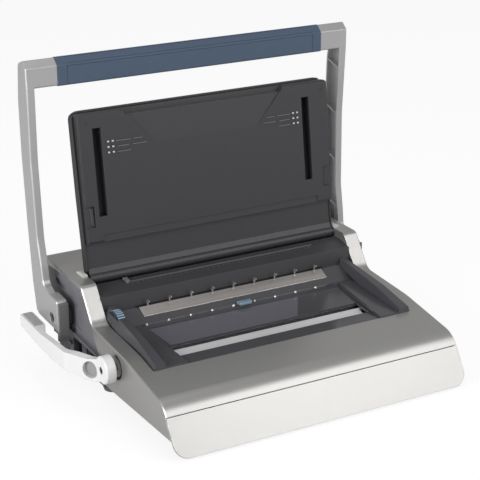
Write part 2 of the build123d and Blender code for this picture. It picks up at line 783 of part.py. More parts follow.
def make_handle_grip():
    """Soft sleeve over the middle of the bar with a shallow inset panel."""
    half = grip_half_length
    grow = 0.7
    grip = bar_section(-half, half, grow)
    grip -= core_section(-half - 1, half + 1)
    front = bar_front - grow
    grip -= frame_groove(half - 14, front, bar_low, bar_face - 1.5)
    # the sloping top face carries a flat between two shallow lines
    slope = atan2(bar_high - bar_face, bar_slope_rear - bar_front)
    for share in (0.12, 0.88):
        y = bar_front + share * (bar_slope_rear - bar_front)
        z = bar_face + share * (bar_high - bar_face) + grow * 0.5
        line = block(-half + 14, half - 14, -0.4, 0.4, -0.5, 2.0)
        grip -= Pos(0, y, z) * Rot(degrees(slope), 0, 0) * line
    return grip


def frame_groove(half, front, z0, z1):
    """Shallow groove round the panel on the front of the grip."""
    width, depth = 0.9, 0.7
    outer = block(-half, half, front - 1, front + depth, z0 - 2, z1)
    inner = block(-half + width, half - width, front - 2, front + depth + 1, z0 - 3, z1 - width)
    return outer - inner


def make_handle_shaft():
    """Shaft that turns both arms and both pinions together."""
    reach = arm_outer_low - 4.5
    return rod(pivot_y, pivot_z, shaft_radius, -reach, reach)


def make_handle_hubs():
    """Ribbed spacer hubs between the arms and the body."""
    hub = rod(pivot_y, pivot_z, hub_radius - 1.0, hub_inner, foot_inner)
    ribs = []
    for i in range(hub_rib_count):
        angle = 2 * pi * i / hub_rib_count
        y = pivot_y + (hub_radius - 1.0) * cos(angle)
        z = pivot_z + (hub_radius - 1.0) * sin(angle)
        ribs.append(Pos(0, y, z) * Rot(degrees(angle), 0, 0) *
                    block(hub_inner + 1, foot_inner, -1.0, 1.0, -1.0, 1.0))
    hub = hub.fuse(*ribs) - rod(pivot_y, pivot_z, shaft_radius, hub_inner - 1, foot_inner + 1)
    return both_sides(hub)


def make_handle_bolts():
    """Socket screws that hold the arms on the shaft."""
    seat = arm_outer_low - 4.5
    head = rod(pivot_y, pivot_z, 6.0, seat, seat + 2.5)
    head -= extrude(Plane.YZ.offset(seat + 1) * Pos(pivot_y, pivot_z) * RegularPolygon(2.9, 6),
                    amount=3)
    return both_sides(head)


def make_handle_buffers():
    """Grey buffers on the front of the arms' feet, which stop the handle on the housing."""
    buffer = block(foot_inner, arm_outer_low + 0.6, 82.5, 86.5 - 0.01, 57.0, 113.0)
    top = buffer.edges().filter_by(Axis.X).group_by(Axis.Z)[-1]
    buffer = fillet(top, 1.9)
    foot = block(foot_inner, arm_outer_low + 0.6, 86.4, 91.0, 57.0, 68.0)
    return both_sides(fuse([buffer, foot]))


def involute_flank(base, radius, points):
    """Polar points of an involute from its base circle to a radius."""
    flank = []
    for i in range(points):
        r = base + (radius - base) * i / (points - 1)
        roll = (max(r * r / base / base - 1, 0)) ** 0.5
        flank.append((r, roll - atan2(roll, 1)))
    return flank


def make_pinion():
    """Spur pinion outline centred on the handle pivot, one tooth pointing up."""
    pitch_radius = pinion_teeth * tooth_module / 2
    base = pitch_radius * cos(radians(20))
    tip = pitch_radius + tooth_module * 0.9
    root = pitch_radius - tooth_module * 1.25
    backlash = 0.14
    half_tooth = pi / 2 / pinion_teeth - backlash / pitch_radius
    pitch_roll = tan(radians(20)) - radians(20)
    flank = involute_flank(base, tip, 3)
    points = []
    for i in range(pinion_teeth):
        middle = pi / 2 + 2 * pi * i / pinion_teeth
        right = [(root, -half_tooth - pitch_roll)] + [
            (r, -half_tooth - pitch_roll + a) for r, a in flank]
        left = [(r, -a) for r, a in reversed(right)]
        for r, a in right + left:
            points.append((pivot_y + r * cos(middle + a), pivot_z + r * sin(middle + a)))
    return points


def make_drive_pinions():
    """A pinion near each end of the shaft."""
    pinion = prism(make_pinion(), rack_inner, rack_outer)
    collar = rod(pivot_y, pivot_z, 7.6, rack_outer, frame_inner - gap)
    bore = rod(pivot_y, pivot_z, shaft_radius, rack_inner - 1, frame_inner)
    return both_sides(fuse([pinion, collar]) - bore)


# Punch

def pivot_in_throat():
    """The handle pivot seen in the leaning frame of the throat."""
    dy, dz = pivot_y - throat_y, pivot_z - throat_z
    a = radians(lean)
    return dy * cos(a) - dz * sin(a), dy * sin(a) + dz * cos(a)


def make_punch_racks():
    """Racks behind the punch bar that the pinions drive."""
    centre_y, centre_z = pivot_in_throat()
    pitch_radius = pinion_teeth * tooth_module / 2
    pitch_line = centre_z + pitch_radius
    pitch = pi * tooth_module
    depth = tooth_module * 1.25
    height = tooth_module * 0.9
    front = bar_back()
    top = pitch_line + depth + 5.5
    # a gap of the rack stands over the pinion's tooth at rest
    phase = pitch_radius * radians(lean)
    first = centre_y - phase - 2.0 * pitch
    tooth_count = 9
    last = first + tooth_count * pitch
    slack = 0.14
    slope = tan(radians(20))
    points = [(front, top), (front, pitch_line + depth), (first, pitch_line + depth)]
    for i in range(tooth_count):
        middle = first + (i + 0.5) * pitch
        half = pitch / 4 - slack
        points += [(middle - half - depth * slope + 0.4, pitch_line + depth),
                   (middle - half + height * slope, pitch_line - height),
                   (middle + half - height * slope, pitch_line - height),
                   (middle + half + depth * slope - 0.4, pitch_line + depth)]
    points += [(last + 0.5, pitch_line + depth), (last + 0.5, top)]
    rack = extrude(Plane.YZ.offset(rack_inner) * make_face(Polyline(points, close=True)),
                   amount=rack_outer - rack_inner)
    return both_sides(in_throat(rack))


def make_punch_bar():
    """Steel bar that pushes the pins; its ends slide in the frames."""
    low, high = bar_levels()
    return in_throat(block(-bar_half_length, bar_half_length, bar_back() - bar_thickness,
                           bar_back(), low, high))


def make_punch_pins():
    """Thirty-four square pins with slanted cutting ends."""
    tip = throat_slot / 2 + pin_recess
    half = pin_size / 2
    pins = []
    for x in pin_places():
        pin = block(x - half, x + half, tip, tip + pin_length, -pin_depth - half,
                    -pin_depth + half)
        pins.append(in_throat(pin))
    return pins


# Cover

def cover_skin_outline():
    """Side outline of the silver shell: back skin and top lip."""
    back = cover_back
    crown = 2.0
    length = cover_length
    return [(back - 1.0, 9.5), (back, 14.0), (back + crown, length * 0.5), (back, length - 6),
            (back - 5, length), (-cover_rim, length), (-cover_rim, length - cover_shell_skin),
            (back - 6, length - cover_shell_skin), (back - cover_shell_skin, length - 8),
            (back + crown - cover_shell_skin, length * 0.5), (back - cover_shell_skin, 14.5),
            (back - cover_shell_skin - 1.0, 9.5)]


def make_cover_shell():
    """Dark outer shell of the cover, seen as a thin rim from the front."""
    half = cover_half_width
    skin_part = extrude(Plane.YZ.offset(-half) * make_face(
        Polyline(cover_skin_outline(), close=True)), amount=2 * half)
    rims = []
    for side in (-1, 1):
        x0, x1 = sorted((side * half, side * (half - cover_shell_skin)))
        points = [(cover_back - 1, 9.5), (cover_back, 14.0), (cover_back + 2, cover_length / 2),
                  (cover_back, cover_length - 6), (cover_back - 5, cover_length),
                  (-cover_rim, cover_length), (-cover_rim, 12.0), (0.0, 9.5)]
        rims.append(extrude(Plane.YZ.offset(x0) * make_face(Polyline(points, close=True)),
                            amount=x1 - x0))
    shell = skin_part.fuse(*rims)
    mask = Plane.XZ.offset(-40) * (Pos(0, cover_length / 2) * RectangleRounded(
        2 * half, cover_length + 2 * cover_corner, cover_corner))
    shell = shell & (Pos(0, 0, -cover_corner) * extrude(mask, amount=80))
    return in_cover(shell)


def panel_outline():
    """Side outline of the dark panel, thin at the foot and thick above the step."""
    top = cover_length - cover_shell_skin - gap
    back = cover_back - cover_shell_skin - 0.6
    return [(back, 14.0), (back, top - 8), (back - 3, top), (-panel_high_depth + 3, top),
            (-panel_high_depth, top - 3), (-panel_low_depth, cover_step + 3.0),
            (-panel_low_depth + 1.6, cover_step), (-panel_thin, cover_step),
            (-panel_thin, 8.0), (2.0, 6.0)]


def make_cover_panel():
    """Dark inner body of the cover with finger recess, slots, pockets and hinge roll."""
    half = cover_half_width - cover_shell_skin - gap
    panel = extrude(Plane.YZ.offset(-half) * make_face(
        Polyline(panel_outline(), close=True)), amount=2 * half)
    roll = rod(0, 0, barrel_radius, -half, half)
    neck = extrude(Plane.YZ.offset(-half) * make_face(Polyline(
        [(-barrel_radius + 2, 0), (-panel_thin, 14.0), (cover_back - 4.5, 16.0),
         (barrel_radius - 2.5, 2.0)], close=True)), amount=2 * half)
    panel = panel.fuse(roll, neck)
    panel &= cover_corner_mask(half)
    top = cover_length - cover_shell_skin - gap
    # wide finger recess in the top edge with slanting ends, cut back further at the very edge
    for depth, drop in ((recess_depth, recess_drop), (recess_lip, 8.0)):
        slant = drop * 0.93
        recess = make_face(Polyline([(recess_left, top + 1), (recess_left + slant, top - drop),
                                     (recess_right - slant, top - drop), (recess_right, top + 1)],
                                    close=True))
        panel -= extrude(Plane.XZ.offset(panel_high_depth + 1) * recess, amount=-(depth + 1))
    front = -panel_high_depth - 2
    for side, inset in ((-1, gauge_left_inset), (1, gauge_right_inset)):
        # tall slot for the sheet gauge, with a shallow pocket below it
        outer = cover_half_width - inset
        inner = outer - gauge_width
        x0, x1 = sorted((side * inner, side * outer))
        panel -= block(x0, x1, front, -2.5, gauge_low, gauge_high)
        x0, x1 = sorted((side * (inner - 14.0), side * (outer + 1.0)))
        panel -= block(x0, x1, front, -panel_high_depth + 4.5, gauge_low - 22, gauge_low - 1.5)
    for side in (-1, 1):
        # stepped notch in the side wall with a small bump in it
        x0, x1 = sorted((side * (half - 13.0), side * (half + 1)))
        panel -= block(x0, x1, front, -panel_low_depth + 3.0, cover_step + 22, cover_step + 52)
        bump = Pos(side * (half - 10.5), -panel_low_depth + 3.0, cover_step + 37)
        panel += bump * extrude(RegularPolygon(3.0, 8), amount=12, both=True)
        x0, x1 = sorted((side * (half - 13.0), side * (half - 8.0)))
        panel -= block(x0, x1, front, -panel_high_depth + 1.5, top - 16, top - 12)
        x0, x1 = sorted((side * (half - 12), side * (half + 1)))
        panel -= rod(0, 0, hinge_pin_radius + running_fit, x0, x1)
    # shallow ledges where the sheet edge rests
    panel -= block(-half + 24, half - 24, -panel_high_depth - 1, -panel_low_depth + 1.6,
                   cover_step - 1, cover_step + 10)
    return in_cover(panel)


def cover_corner_mask(half):
    """Front view of the panel with rounded upper corners."""
    height = cover_length - cover_shell_skin - gap
    low = -barrel_radius - 1
    points = [(-half, low), (half, low), (half, height), (-half, height)]
    face = outline(points, [0, 0, panel_corner, panel_corner])
    return extrude(Plane.XZ.offset(-40) * face, amount=80)


def make_cover_hinge_pins():
    """Two short pins in the humps that carry the cover."""
    start = cover_half_width - cover_shell_skin - gap - 11
    return both_sides(rod(hinge_y, hinge_z, hinge_pin_radius, start, hump_inner + skin))


def make_hinge_caps():
    """Light caps on the humps over the cover's hinge pins."""
    front, rear = hinge_y - 5.0, hinge_y + 16.0
    foot, top = hinge_z + 1.0, hinge_z + 9.6
    cap = prism([(front, foot), (front, top - 1.4), (front + 4, top), (rear - 4, top),
                 (rear, top - 1.2), (rear, foot)], hump_inner + 0.4, hump_inner + 8.0)
    cap = chamfer(cap.edges().filter_by(Axis.Y).group_by(Axis.Z)[-1], 1.0)
    return both_sides(cap - housing_blank())


# Closer

yoke_low = closer_high - 2.6


def make_closer_bar():
    """Bright pressed bar: a face that slopes forward and a pushing web."""
    half = closer_bar_half_length
    points = [(closer_web_rear, closer_high), (closer_web_rear, closer_low),
              (closer_web_front, closer_low), (closer_web_front, closer_high - 3.0),
              (closer_flange_front, closer_high - closer_flange_drop - 2.2),
              (closer_flange_front, closer_high - closer_flange_drop)]
    bar = prism(points, -half, half)
    for side in (-1, 1):
        # tab over the cam, and a leg with the tongue that slides in the frame
        for inner, outer, low, high in (
                (half - 1, cam_outer + 2, yoke_low, closer_high),
                (half - 9, half, guide_low, closer_low + 1),
                (half - 1, guide_reach, guide_low, guide_high)):
            x0, x1 = sorted((side * inner, side * outer))
            bar += block(x0, x1, closer_web_front, closer_web_rear, low, high)
    return bar


def cam_points():
    """Snail cam: the radius grows with the angle that the lever turns."""
    points = []
    steps = 10
    for i in range(steps + 1):
        share = i / steps
        angle = -radians(lever_swing) * share
        radius = cam_radius + closer_travel * 0.92 * share
        points.append((lever_y + radius * cos(angle), lever_z + radius * sin(angle)))
    for i in range(1, 9):
        angle = -radians(lever_swing) - (2 * pi - radians(lever_swing)) * i / 9
        points.append((lever_y + cam_radius * cos(angle), lever_z + cam_radius * sin(angle)))
    return points


def make_closer_cams():
    """Two cams on the closer shaft."""
    cam = prism(cam_points(), cam_inner, cam_outer)
    return both_sides(cam - rod(lever_y, lever_z, closer_shaft_radius, cam_inner - 1,
                                cam_outer + 1))


def make_closer_yokes():
    """Hooks on the closer bar that reach over the cams and stand behind them."""
    follower = lever_y + cam_radius + 1.5
    leg = follower + 5.0
    yoke = prism([(closer_web_rear, closer_high), (closer_web_rear, yoke_low),
                  (follower, yoke_low), (follower, lever_z - 9.0), (leg, lever_z - 9.0),
                  (leg, closer_high)], cam_inner, cam_outer, [0, 0, 2, 0, 1.5, 4])
    return both_sides(yoke)


def make_closer_shaft():
    """Shaft from the lever through both frames."""
    shaft = rod(lever_y, lever_z, closer_shaft_radius, -lever_hub_outer + 3,
                frame_inner + frame_thickness + 6)
    return shaft


def make_fixed_jaw():
    """Steel strip on the rear wall of the wire channel."""
    half = channel_half_length - 1.0
    return block(-half, half, channel_rear[0], channel_rear[0] + 1.5, 70.5,
                 channel_rear[1] - deck_skin)


def lever_side():
    """Side outline (y, z) of the lever's arm."""
    top = [(lever_tip_y, 74.0), (134.0, 72.0), (97.0, 70.0), (50.0, 72.5), (8.0, 73.5),
           (-14.0, 71.0), (lever_y, 78.0)]
    bottom = [(lever_y, 48.0), (-24.0, 40.0), (-10.0, 41.0), (4.0, 46.5), (22.0, 48.2),
              (60.0, 46.8), (112.0, 49.5), (lever_tip_y + 1.0, 57.5)]
    return top + bottom


def lever_plan():
    """Plan outline (x, y): bowed outward past the handle, with a wide tip."""
    outer = [(lever_hub_outer, lever_y - 3), (lever_hub_outer, -26.0), (lever_outer, 14.0),
             (lever_outer, lever_tip_y + 2)]
    inner = [(lever_paddle, lever_tip_y + 2), (lever_paddle, 122.0), (lever_inner, 98.0),
             (lever_inner, 24.0), (lever_hub_outer - 8, -18.0), (lever_hub_outer - 8, lever_y - 3)]
    return outer + inner


def make_closer_lever():
    """White lever: round hub, dished boss and an arm that bows outward."""
    hub = rod(lever_y, lever_z, lever_hub_radius, lever_hub_inner, lever_hub_outer)
    hub = chamfer(hub.faces().sort_by(Axis.X)[-1].edges(), 1.8)
    side = prism(lever_side(), lever_hub_inner, lever_outer + 10,
                 [3, 60, 60, 60, 40, 20, 0, 0, 8, 14, 14, 60, 60, 60, 5])
    plan = extrude(Plane.XY * outline(lever_plan(), [0, 26, 26, 4, 4, 16, 16, 22, 22, 0]),
                   amount=120)
    arm = side & plan
    lever = hub + arm
    # round dish in the slanting part of the boss
    dish = Pos(lever_hub_outer + 3.5, lever_y + 25, 56.5) * Rot(0, 0, -33) * Rot(0, 90, 0)
    lever -= dish * Cylinder(dish_radius, 2 * dish_depth)
    lever -= rod(lever_y, lever_z, 5.0, lever_hub_outer - 3, lever_hub_outer + 30)
    lever -= rod(lever_y, lever_z, closer_shaft_radius, lever_hub_inner - 1,
                 lever_hub_outer - 2.9)
    lever -= pad_shape(6.0)
    return mirror(lever, about=Plane.YZ)


def pad_shape(height):
    """Thumb pad let into the upper face of the wide tip."""
    y0, y1 = 124.0, lever_tip_y - 3.5
    floor_front, floor_rear = 69.8, 72.2
    points = [(y0, floor_front), (y1, floor_rear), (y1, floor_rear + height),
              (y0, floor_front + height)]
    return prism(points, lever_paddle + 2.5, lever_outer - 2.5)


def make_lever_pad():
    """Textured thumb pad at the lever's tip."""
    return mirror(pad_shape(2.8), about=Plane.YZ)


def make_lever_screw():
    """Screw that holds the lever on its shaft."""
    x0 = lever_hub_outer - 3
    screw = rod(lever_y, lever_z, 4.4, x0, x0 + 2.2)
    screw -= extrude(Plane.YZ.offset(x0 + 1) * Pos(lever_y, lever_z) * RegularPolygon(2.2, 6),
                     amount=3)
    return mirror(screw, about=Plane.YZ)


# Wire size wheel and its stop

def make_size_wheel():
    """Ribbed thumb wheel half sunk in the left wing."""
    x0, x1 = wheel_x - wheel_width / 2, wheel_x + wheel_width / 2
    wheel = rod(wheel_y, wheel_z, wheel_radius - 0.9, x0, x1)
    ribs = []
    count = 32
    for i in range(count):
        angle = 2 * pi * i / count
        place = Pos(0, wheel_y, wheel_z) * Rot(degrees(angle), 0, 0)
        ribs.append(place * block(x0, x1, wheel_radius - 1.8, wheel_radius, -1.0, 1.0))
    wheel = wheel.fuse(*ribs)
    wheel -= rod(wheel_y, wheel_z, wheel_axle_radius, x0 - 1, x1 + 1)
    return wheel


def make_wheel_axle():
    """Axle of the thumb wheel, held in its bracket."""
    half = wheel_width / 2
    return rod(wheel_y, wheel_z, wheel_axle_radius, wheel_x - half - 3, wheel_x + half + 0.4)


def make_wheel_bracket():
    """Bracket on the base that carries the wheel's axle."""
    x0, x1 = wheel_x - wheel_width / 2 - 3.5, wheel_x - wheel_width / 2 - 1.0
    foot = base_bottom + base_floor
    points = [(wheel_y - 7, foot), (wheel_y + 7, foot), (wheel_y + 3.8, wheel_z - 14),
              (wheel_y + 3.8, wheel_z + 3.8), (wheel_y - 3.8, wheel_z + 3.8),
              (wheel_y - 3.8, wheel_z - 14)]
    bracket = prism(points, x0, x1)
    return bracket - rod(wheel_y, wheel_z, wheel_axle_radius + running_fit, x0 - 1, x1 + 1)


# Edge guide

def make_edge_guide():
    """Small slide at the left end of the throat that squares the sheets."""
    x0 = -throat_length / 2 + 1.5
    half = throat_slot / 2 - gap
    fin = block(x0, x0 + 4, -half, half, -8.0, 2.4)
    tab = prism([(-half, 1.2), (half, 1.2), (half + 8.0, 4.1), (half + 8.0, 5.5), (half, 2.6),
                 (-half, 2.6)], x0 - 1, x0 + 6)
    return in_throat(fuse([fin, tab]))


# Drawer

def face_plane():
    """Plane of the front face, with its origin in the middle of the lower edge."""
    rise = Vector(0, seam[0] - face_foot[0], seam[1] - face_foot[1])
    normal = Vector(0, -rise.Z, rise.Y)
    return Plane(origin=(0, face_foot[0], face_foot[1]), x_dir=(1, 0, 0), z_dir=normal)


def make_drawer_front():
    """Silver face below the seam, with round lower corners."""
    length = hypot(seam[0] - face_foot[0], seam[1] - face_foot[1]) - 0.8
    half = body_half_width
    face = outline([(-half, length), (-half, 0), (half, 0), (half, length)],
                   [0, face_corner, face_corner, 0])
    return extrude(face_plane() * face, amount=-skin)


def make_drawer_tray():
    """Deep tray behind the face that catches the chips."""
    def front_at(z):
        """The inner side of the drawer front at a height."""
        return face_foot[0] + (z - face_foot[1]) / face_slope + skin * hypot(1, 1 / face_slope)
    outer = [(front_at(drawer_bottom), drawer_bottom), (drawer_rear, drawer_bottom),
             (drawer_rear, drawer_top), (front_at(drawer_top), drawer_top)]
    inner = [(front_at(drawer_bottom) + 4, drawer_bottom + drawer_skin),
             (drawer_rear - drawer_skin, drawer_bottom + drawer_skin),
             (drawer_rear - drawer_skin, drawer_top + 1), (front_at(drawer_top) + 4, drawer_top + 1)]
    tray = prism(outer, -drawer_half_width, drawer_half_width)
    tray -= prism(inner, -drawer_half_width + drawer_skin, drawer_half_width - drawer_skin)
    return tray


add("base_pan", make_base_pan())
add("rubber_feet", *make_rubber_feet())
add("top_housing", make_top_housing())
add("left_side_cover", make_side_cover(-1))
add("right_side_cover", make_side_cover(1))
add("rear_cover", make_rear_cover())
add("left_frame_plate", make_frame_plate(-1))
add("right_frame_plate", make_frame_plate(1))
add("pivot_bushes", *make_bush(pivot_y, pivot_z, shaft_radius, bush_radius))
add("closer_bushes", *make_bush(lever_y, lever_z, closer_shaft_radius, closer_shaft_radius + 2))
add("tie_rod", make_tie_rod())
add("handle_buffers", *make_handle_buffers())
add("binding_deck", make_binding_deck())
add("throat_block", make_throat_block())
add("die_plate", make_die_plate())
add("pin_guide", make_pin_guide())
add("paper_stop", make_paper_stop())
add("wire_hooks", make_wire_hooks())
add("fixed_jaw", make_fixed_jaw())
add("hinge_caps", *make_hinge_caps())
add("cover_hinge_pins", *make_cover_hinge_pins())
add("wheel_bracket", make_wheel_bracket())
add("catch_strip", make_catch_strip())
add("slider_button", make_slider_button())
add("edge_guide", make_edge_guide())
add("size_wheel", make_size_wheel())
add("wheel_axle", make_wheel_axle())
add("drawer_front", make_drawer_front())
add("drawer_tray", make_drawer_tray())
add("handle_arm_left", make_handle_arm(-1))
add("handle_arm_right", make_handle_arm(1))
add("handle_core", make_handle_core())
add("handle_grip", make_handle_grip())
add("handle_shaft", make_handle_shaft())
add("handle_hubs", *make_handle_hubs())
add("handle_bolts", *make_handle_bolts())
add("drive_pinions", *make_drive_pinions())
add("punch_bar", make_punch_bar())
add("punch_pins", *make_punch_pins())
add("punch_racks", *make_punch_racks())
add("cover_shell", make_cover_shell())
add("cover_panel", make_cover_panel())
add("closer_lever", make_closer_lever())
add("lever_pad", make_lever_pad())
add("lever_screw", make_lever_screw())
add("closer_shaft", make_closer_shaft())
add("closer_cams", *make_closer_cams())
add("closer_bar", make_closer_bar())
add("closer_yokes", *make_closer_yokes())
write_machine()
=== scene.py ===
import json
from math import cos, pi, radians, sin

import bpy
from mathutils import Matrix, Vector


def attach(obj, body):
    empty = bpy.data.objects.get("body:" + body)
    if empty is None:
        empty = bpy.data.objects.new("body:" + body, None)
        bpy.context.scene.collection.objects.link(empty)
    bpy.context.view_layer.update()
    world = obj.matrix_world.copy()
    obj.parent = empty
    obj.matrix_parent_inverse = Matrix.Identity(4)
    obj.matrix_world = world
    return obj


# Looks for the wire binding machine: finishes for every part, the size marks on the
# cover, the bare plate on the deck, a pale floor, studio light and the camera.
# Metres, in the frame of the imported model: X to the right, Y to the back, Z up.
# Places on the machine are counted from MIDDLE, the point that it was drawn round.

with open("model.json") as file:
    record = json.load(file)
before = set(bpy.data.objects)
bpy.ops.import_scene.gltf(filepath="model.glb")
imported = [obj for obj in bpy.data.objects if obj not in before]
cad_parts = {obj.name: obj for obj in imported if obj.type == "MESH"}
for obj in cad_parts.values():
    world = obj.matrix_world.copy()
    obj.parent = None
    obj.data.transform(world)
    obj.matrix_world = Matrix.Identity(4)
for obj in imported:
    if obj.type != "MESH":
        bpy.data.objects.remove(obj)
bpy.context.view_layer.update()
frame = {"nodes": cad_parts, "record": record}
nodes = frame["nodes"]
MIDDLE = Vector((0.0084, 0.0106, 0.0))


# Shader helpers

class Shader:
    """A material's node tree, with short calls for adding and joining nodes."""

    def __init__(self, name):
        self.material = bpy.data.materials.new(name)
        self.material.use_nodes = True
        self.tree = self.material.node_tree
        self.tree.nodes.clear()
        self.surface = self.add("ShaderNodeBsdfPrincipled")
        self.output = self.add("ShaderNodeOutputMaterial")
        self.join(self.surface.outputs["BSDF"], self.output.inputs["Surface"])

    def add(self, kind, **settings):
        """A new node with some of its settings filled in."""
        made = self.tree.nodes.new(kind)
        for key, value in settings.items():
            setattr(made, key, value)
        return made

    def join(self, output, socket):
        """A link from an output to an input."""
        self.tree.links.new(output, socket)

    def noise(self, scale, detail=3.0, stretch=(1.0, 1.0, 1.0)):
        """Cloudy noise with so many features per metre, fewer along an axis under 1."""
        coordinates = self.add("ShaderNodeTexCoord")
        mapping = self.add("ShaderNodeMapping")
        mapping.inputs["Scale"].default_value = stretch
        texture = self.add("ShaderNodeTexNoise")
        texture.inputs["Scale"].default_value = scale
        texture.inputs["Detail"].default_value = detail
        self.join(coordinates.outputs["Object"], mapping.inputs["Vector"])
        self.join(mapping.outputs["Vector"], texture.inputs["Vector"])
        return texture.outputs["Fac"]

    def ramp(self, value, low, high, start=0.0, end=1.0):
        """A value carried from the range start to end into the range low to high."""
        mapped = self.add("ShaderNodeMapRange")
        self.join(value, mapped.inputs["Value"])
        mapped.inputs["From Min"].default_value = start
        mapped.inputs["From Max"].default_value = end
        mapped.inputs["To Min"].default_value = low
        mapped.inputs["To Max"].default_value = high
        return mapped.outputs["Result"]

    def blend(self, share, first, second):
        """A colour between two colours, either of which may be a link."""
        mixed = self.add("ShaderNodeMix", data_type="RGBA")
        self.join(share, mixed.inputs["Factor"])
        for name, colour in (("A_Color", first), ("B_Color", second)):
            socket = next(s for s in mixed.inputs if s.identifier == name)
            if isinstance(colour, tuple):
                socket.default_value = (*colour, 1.0)
            else:
                self.join(colour, socket)
        return next(s for s in mixed.outputs if s.identifier == "Result_Color")


def linear(code):
    """Linear colour of a written sRGB colour such as 7e7c76."""
    channels = [int(code[i:i + 2], 16) / 255 for i in (0, 2, 4)]
    return tuple(c / 12.92 if c <= 0.04045 else ((c + 0.055) / 1.055) ** 2.4 for c in channels)


def shaded(colour, factor):
    """A colour made lighter or darker."""
    return tuple(min(1.0, c * factor) for c in colour)


# Finishes

# Noise features per metre
CLOUD_SCALE = 35.0
WHEEL_CLOUD_SCALE = 60.0
BRUSH_SCALE = 60.0
ROUGHNESS_SCALE = 180.0

BRUSH_RANGE = (0.35, 0.65)        # noise values where a brush mark begins and is full
ROUGHNESS_SPREAD = (0.9, 1.12)
GRAIN_HEIGHT = 0.0002
EDGE_HIGHLIGHT_RANGE = (0.86, 0.99)         # cosine of the edge's rounding, from full painted highlight to none

# How far noise is stretched along each axis: brush marks are long along one of them
EVEN = (1.0, 1.0, 1.0)
ALONG_X = (0.03, 1.0, 1.0)
ALONG_Y = (1.0, 0.03, 1.0)


def finish(name, code, roughness, metallic=0.0, mottle=0.08, grain=0.1, grain_scale=900.0,
           edge=1.35, edge_radius=0.0006, brush=EVEN):
    """A finish with soft colour variation, surface grain and a painted highlight on rounded edges.

    With an edge radius of 0 the edges stay sharp and get no painted highlight, for clear
    reflections.
    """
    shader = Shader(name)
    surface = shader.surface
    colour = linear(code)
    cloud = shader.noise(CLOUD_SCALE)
    mixed = shader.blend(cloud, shaded(colour, 1 - mottle), shaded(colour, 1 + mottle))
    if brush != EVEN:
        lines = shader.ramp(shader.noise(BRUSH_SCALE, 2.0, brush), 0.0, 1.0, *BRUSH_RANGE)
        mixed = shader.blend(lines, mixed, shaded(colour, 1 + 2 * mottle))
    bump = shader.add("ShaderNodeBump")
    if edge_radius:
        # Painted highlight along edges: where the rounded normal leaves the face's normal, the
        # colour is lightened by the edge factor
        rounded = shader.add("ShaderNodeBevel", samples=4)
        rounded.inputs["Radius"].default_value = edge_radius
        plain = shader.add("ShaderNodeNewGeometry")
        agree = shader.add("ShaderNodeVectorMath", operation="DOT_PRODUCT")
        shader.join(rounded.outputs["Normal"], agree.inputs[0])
        shader.join(plain.outputs["Normal"], agree.inputs[1])
        edge_highlight = shader.ramp(agree.outputs["Value"], 1.0, 0.0, *EDGE_HIGHLIGHT_RANGE)
        mixed = shader.blend(edge_highlight, mixed, shaded(colour, edge))
        shader.join(rounded.outputs["Normal"], bump.inputs["Normal"])
    shader.join(mixed, surface.inputs["Base Color"])
    low, high = (roughness * share for share in ROUGHNESS_SPREAD)
    shader.join(shader.ramp(shader.noise(ROUGHNESS_SCALE), low, high), surface.inputs["Roughness"])
    bump.inputs["Strength"].default_value = grain
    bump.inputs["Distance"].default_value = GRAIN_HEIGHT
    shader.join(shader.noise(grain_scale, 2.0, brush), bump.inputs["Height"])
    shader.join(bump.outputs["Normal"], surface.inputs["Normal"])
    surface.inputs["Metallic"].default_value = metallic
    return shader.material
